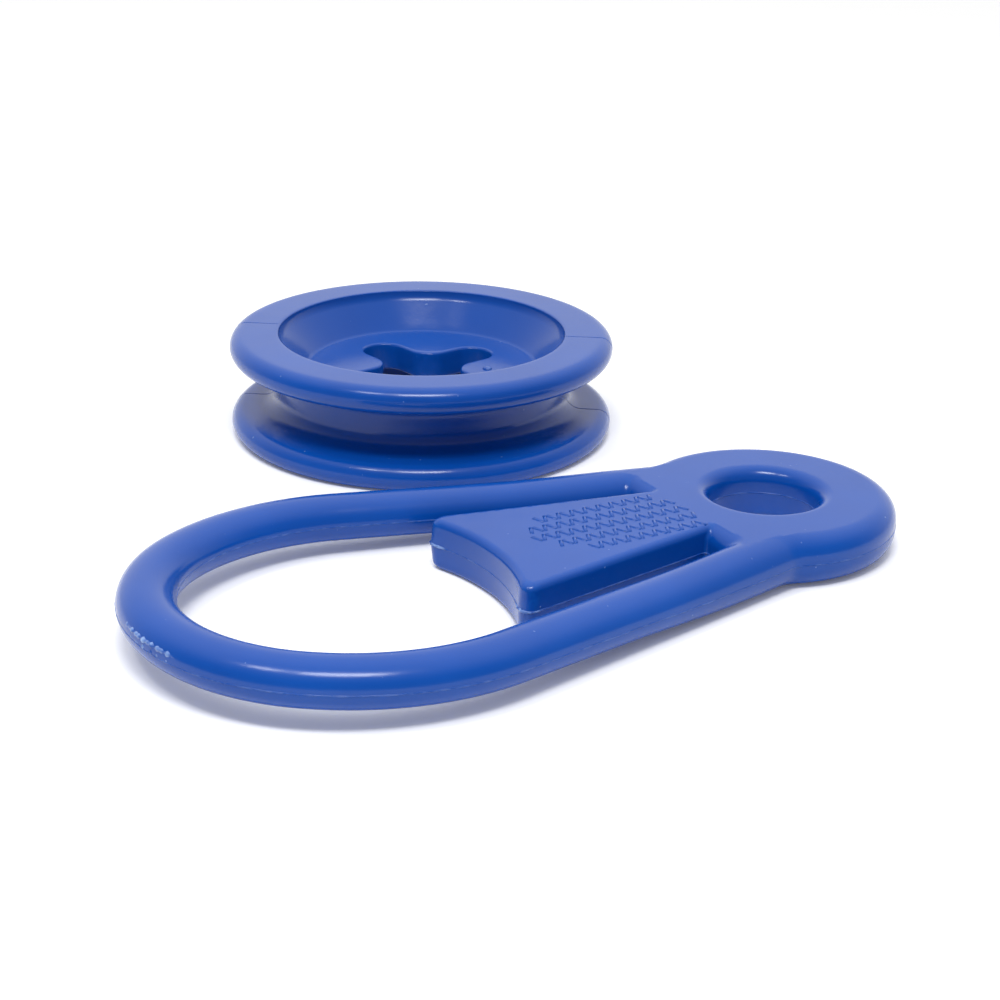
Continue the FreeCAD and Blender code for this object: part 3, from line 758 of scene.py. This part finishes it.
def make_floor_material():
    """A matt white that glows very slightly, so that it stays pale up to the horizon."""
    material, shader = principled("pale_floor")
    shader.inputs["Base Color"].default_value = (0.96, 0.96, 0.96, 1)
    shader.inputs["Emission Color"].default_value = (1, 1, 1, 1)
    shader.inputs["Emission Strength"].default_value = 0.08
    shader.inputs["Roughness"].default_value = 0.9
    return material


# ---------------------------------------------------------------- stage, lights, camera

FLOOR_REACH, FLOOR_GAP = 12.0, 0.00002


def make_floor():
    """A square floor just under both pieces."""
    reach = FLOOR_REACH
    mesh = bpy.data.meshes.new("floor")
    z = float(min(link_low[2], spool_low[2])) - FLOOR_GAP
    corners = [(-reach, -reach, z), (reach, -reach, z), (reach, reach, z), (-reach, reach, z)]
    mesh.from_pydata(corners, [], [(0, 1, 2, 3)])
    floor = bpy.data.objects.new("floor", mesh)
    floor.data.materials.append(make_floor_material())
    bpy.context.scene.collection.objects.link(floor)


# The camera: heading and tilt of its axis, where it stands, and the turn about its axis.
CAMERA_AT = Vector((-0.17756, -0.33996, 0.1568))
CAMERA_HEADING = math.radians(-30.209)
CAMERA_TILT = math.radians(90 - 23.412)
CAMERA_ROLL = math.radians(1.081)
CAMERA_LENS, SENSOR_WIDTH = 69.145, 36.0
CAMERA_SHIFT = (-0.0019, 0.0458)


def make_camera():
    """The camera at its fitted place and angle."""
    data = bpy.data.cameras.new("camera")
    data.sensor_width = SENSOR_WIDTH
    data.lens = CAMERA_LENS
    data.shift_x, data.shift_y = CAMERA_SHIFT
    data.clip_start, data.clip_end = 0.01, 20
    camera = bpy.data.objects.new("camera", data)
    turn = (Matrix.Rotation(CAMERA_HEADING, 4, "Z") @ Matrix.Rotation(CAMERA_TILT, 4, "X")
            @ Matrix.Rotation(CAMERA_ROLL, 4, "Z"))
    camera.matrix_world = Matrix.Translation(CAMERA_AT) @ turn
    bpy.context.scene.collection.objects.link(camera)
    bpy.context.scene.camera = camera


def make_panel(name, place, target, width, height, power):
    """A rectangular light of so many watts, facing a target."""
    data = bpy.data.lights.new(name, "AREA")
    data.shape = "RECTANGLE"
    data.size, data.size_y = width, height
    data.energy = power
    light = bpy.data.objects.new(name, data)
    aim = (Vector(target) - Vector(place)).to_track_quat("-Z", "Y")
    light.matrix_world = Matrix.Translation(Vector(place)) @ aim.to_matrix().to_4x4()
    bpy.context.scene.collection.objects.link(light)


def view_point(right, ahead, height):
    """A place given from the camera's foot: to its right, ahead of it and up, in metres."""
    c, s = math.cos(CAMERA_HEADING), math.sin(CAMERA_HEADING)
    return (CAMERA_AT.x + right * c - ahead * s, CAMERA_AT.y + right * s + ahead * c, height)


WORLD_LIFT = math.radians(20)  # height of the surround's brightest direction
BEHIND, AHEAD = 0.24, 1.05  # strength of the surround behind the camera and ahead of it
OVERHEAD = 0.5  # strength added overhead


def make_world():
    """A pale studio: brightest ahead of the camera, a little added overhead, dimmer behind."""
    world = bpy.data.worlds.new("surround")
    world.use_nodes = True
    tree = world.node_tree
    place = tree.nodes.new("ShaderNodeTexCoord").outputs["Generated"]
    along = tree.nodes.new("ShaderNodeVectorMath")
    along.operation = "DOT_PRODUCT"
    level_ahead = Vector((-math.sin(CAMERA_HEADING), math.cos(CAMERA_HEADING), 0))
    along.inputs[1].default_value = (
        level_ahead * math.cos(WORLD_LIFT) + Vector((0, 0, math.sin(WORLD_LIFT))))
    tree.links.new(place, along.inputs[0])
    level = add_range(tree, along.outputs["Value"], -0.25, 0.8, BEHIND, AHEAD, "SMOOTHSTEP")
    split = tree.nodes.new("ShaderNodeSeparateXYZ")
    tree.links.new(place, split.inputs[0])
    above = add_range(tree, split.outputs["Z"], 0.45, 0.95, 0.0, OVERHEAD, "SMOOTHSTEP")
    total = tree.nodes.new("ShaderNodeMath")
    tree.links.new(level, total.inputs[0])
    tree.links.new(above, total.inputs[1])
    background = tree.nodes["Background"]
    tree.links.new(total.outputs[0], background.inputs["Strength"])
    background.inputs["Color"].default_value = (1, 1, 1, 1)
    bpy.context.scene.world = world


def make_lights():
    """A key panel over the pieces, a small side panel, and the surround."""
    target = view_point(-0.02, 0.40, 0.0)
    make_panel("key_panel", view_point(0.0, 0.10, 0.58), target,
               width=0.24, height=0.12, power=2.1)
    make_panel("side_panel", view_point(-0.24, 0.17, 0.55), target,
               width=0.11, height=0.08, power=0.6)
    make_world()


plastic = make_plastic("blue_moulded_plastic", BLUE_RUBBED, 0.8)
stressed = make_plastic("blue_stressed_plastic", BLUE_STRESSED, 1.0)
make_link(plastic)
make_parting_flash(stressed)
make_gate_scar(stressed)
make_ribs(plastic)
make_spool(plastic)
make_pip(stressed)
make_floor()
make_camera()
make_lights()
bpy.context.scene.view_settings.view_transform = "Standard"
